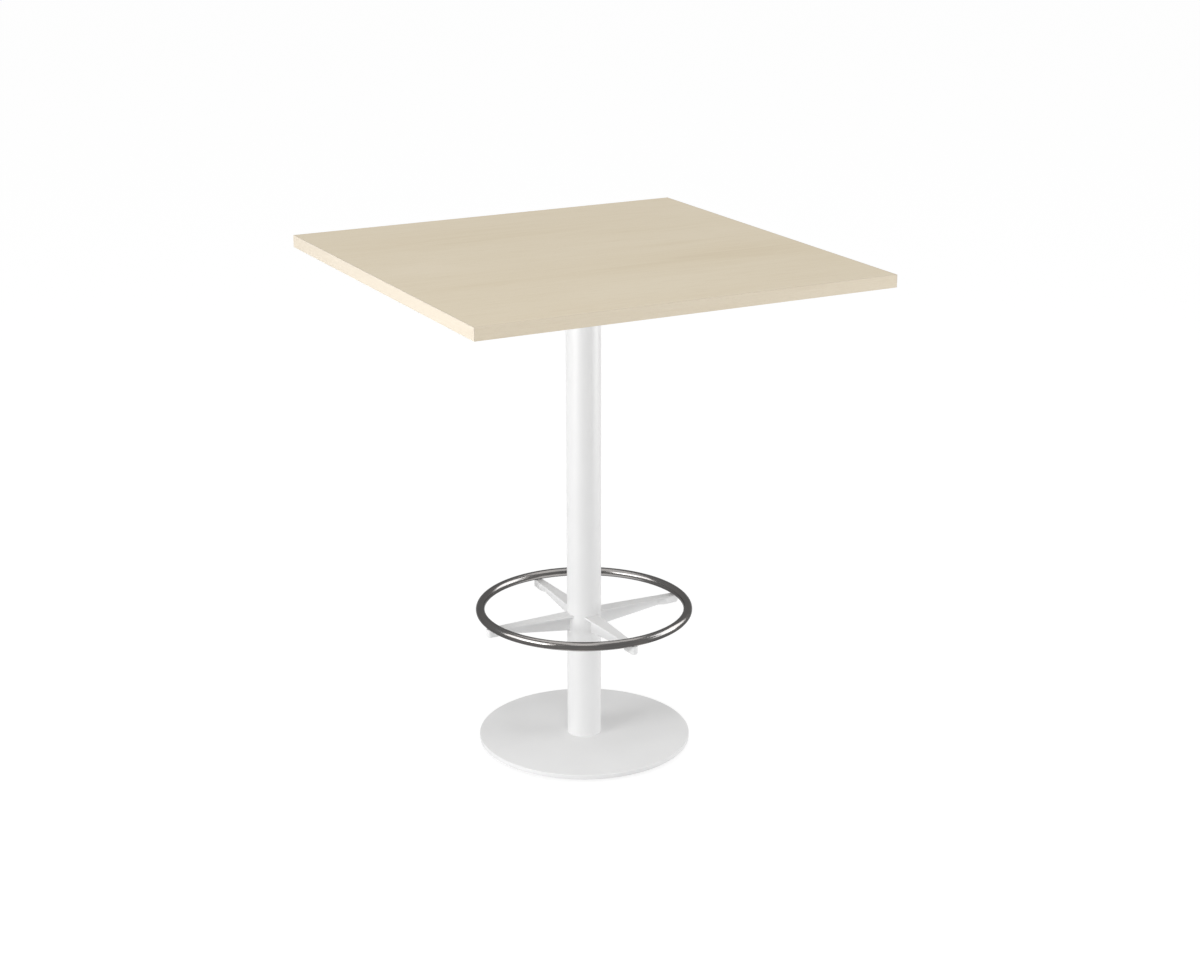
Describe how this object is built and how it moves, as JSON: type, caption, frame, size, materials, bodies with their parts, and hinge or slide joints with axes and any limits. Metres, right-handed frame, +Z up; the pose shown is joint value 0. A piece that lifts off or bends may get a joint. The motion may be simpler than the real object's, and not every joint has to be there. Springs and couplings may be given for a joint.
{
  "type": "pub table",
  "caption": "Bar-height table with a square maple-look laminate top on a white round column and flat round base, with a polished ring foot rest carried by T-section arms.",
  "frame": {"origin": "on the floor under the column's axis, which is the middle of the box's bottom face", "axes": "+Z up along the column, X and Y along the sides of the top and along the foot-rest arms"},
  "size_m": [0.914, 0.914, 1.08],
  "materials": {
    "decor_laminate": "satin maple-grain laminate",
    "edge_band": "satin maple-grain edge band",
    "core_board": "raw particle board",
    "backing_laminate": "matt off-white laminate",
    "white_powder_coat": "white semi-gloss powder coat on steel",
    "polished_steel": "polished stainless tube",
    "plated_steel": "zinc plated",
    "glide_nylon": "moulded grey nylon"
  },
  "bodies": {
    "table": {"top_laminate": "decor_laminate", "edge_band_left": "edge_band", "edge_band_right": "edge_band", "edge_band_front": "edge_band", "edge_band_back": "edge_band", "top_core": "core_board", "bottom_laminate": "backing_laminate", "mounting_plate": "white_powder_coat", "column_tube": "white_powder_coat", "base_plate": "white_powder_coat", "footrest_ring": "polished_steel", "column_top_plug": "plated_steel", "column_bottom_plug": "plated_steel", "column_top_bolts": "plated_steel", "base_bolts": "plated_steel", "top_screws": "plated_steel", "top_inserts": "plated_steel", "ring_bushes": "plated_steel", "ring_screws": "plated_steel", "footrest_arm_right": "white_powder_coat", "footrest_arm_back": "white_powder_coat", "footrest_arm_left": "white_powder_coat", "footrest_arm_front": "white_powder_coat"},
    "glide_foot_1": {"glide_foot_1": "glide_nylon"},
    "glide_stem_1": {"glide_stem_1": "plated_steel"},
    "glide_foot_2": {"glide_foot_2": "glide_nylon"},
    "glide_stem_2": {"glide_stem_2": "plated_steel"},
    "glide_foot_3": {"glide_foot_3": "glide_nylon"},
    "glide_stem_3": {"glide_stem_3": "plated_steel"},
    "glide_foot_4": {"glide_foot_4": "glide_nylon"},
    "glide_stem_4": {"glide_stem_4": "plated_steel"}
  },
  "joints": [
    {"name": "glide_1_travel", "type": "slide", "parent": "table", "child": "glide_foot_1", "axis": [0, 0, -1], "range_m": [0, 0.004]},
    {"name": "glide_1_turn", "type": "hinge", "parent": "glide_foot_1", "child": "glide_stem_1", "pos_m": [0.13824, 0.13824, 0.007], "axis": [0, 0, -1], "range_deg": [0, 1152]},
    {"name": "glide_2_travel", "type": "slide", "parent": "table", "child": "glide_foot_2", "axis": [0, 0, -1], "range_m": [0, 0.004]},
    {"name": "glide_2_turn", "type": "hinge", "parent": "glide_foot_2", "child": "glide_stem_2", "pos_m": [-0.13824, 0.13824, 0.007], "axis": [0, 0, -1], "range_deg": [0, 1152]},
    {"name": "glide_3_travel", "type": "slide", "parent": "table", "child": "glide_foot_3", "axis": [0, 0, -1], "range_m": [0, 0.004]},
    {"name": "glide_3_turn", "type": "hinge", "parent": "glide_foot_3", "child": "glide_stem_3", "pos_m": [-0.13824, -0.13824, 0.007], "axis": [0, 0, -1], "range_deg": [0, 1152]},
    {"name": "glide_4_travel", "type": "slide", "parent": "table", "child": "glide_foot_4", "axis": [0, 0, -1], "range_m": [0, 0.004]},
    {"name": "glide_4_turn", "type": "hinge", "parent": "glide_foot_4", "child": "glide_stem_4", "pos_m": [0.13824, -0.13824, 0.007], "axis": [0, 0, -1], "range_deg": [0, 1152]}
  ],
  "couplings": [
    {"joint": "glide_1_travel", "follows": "glide_1_turn", "m_per_rad": 0.00019894},
    {"joint": "glide_2_travel", "follows": "glide_2_turn", "m_per_rad": 0.00019894},
    {"joint": "glide_3_travel", "follows": "glide_3_turn", "m_per_rad": 0.00019894},
    {"joint": "glide_4_travel", "follows": "glide_4_turn", "m_per_rad": 0.00019894}
  ]
}
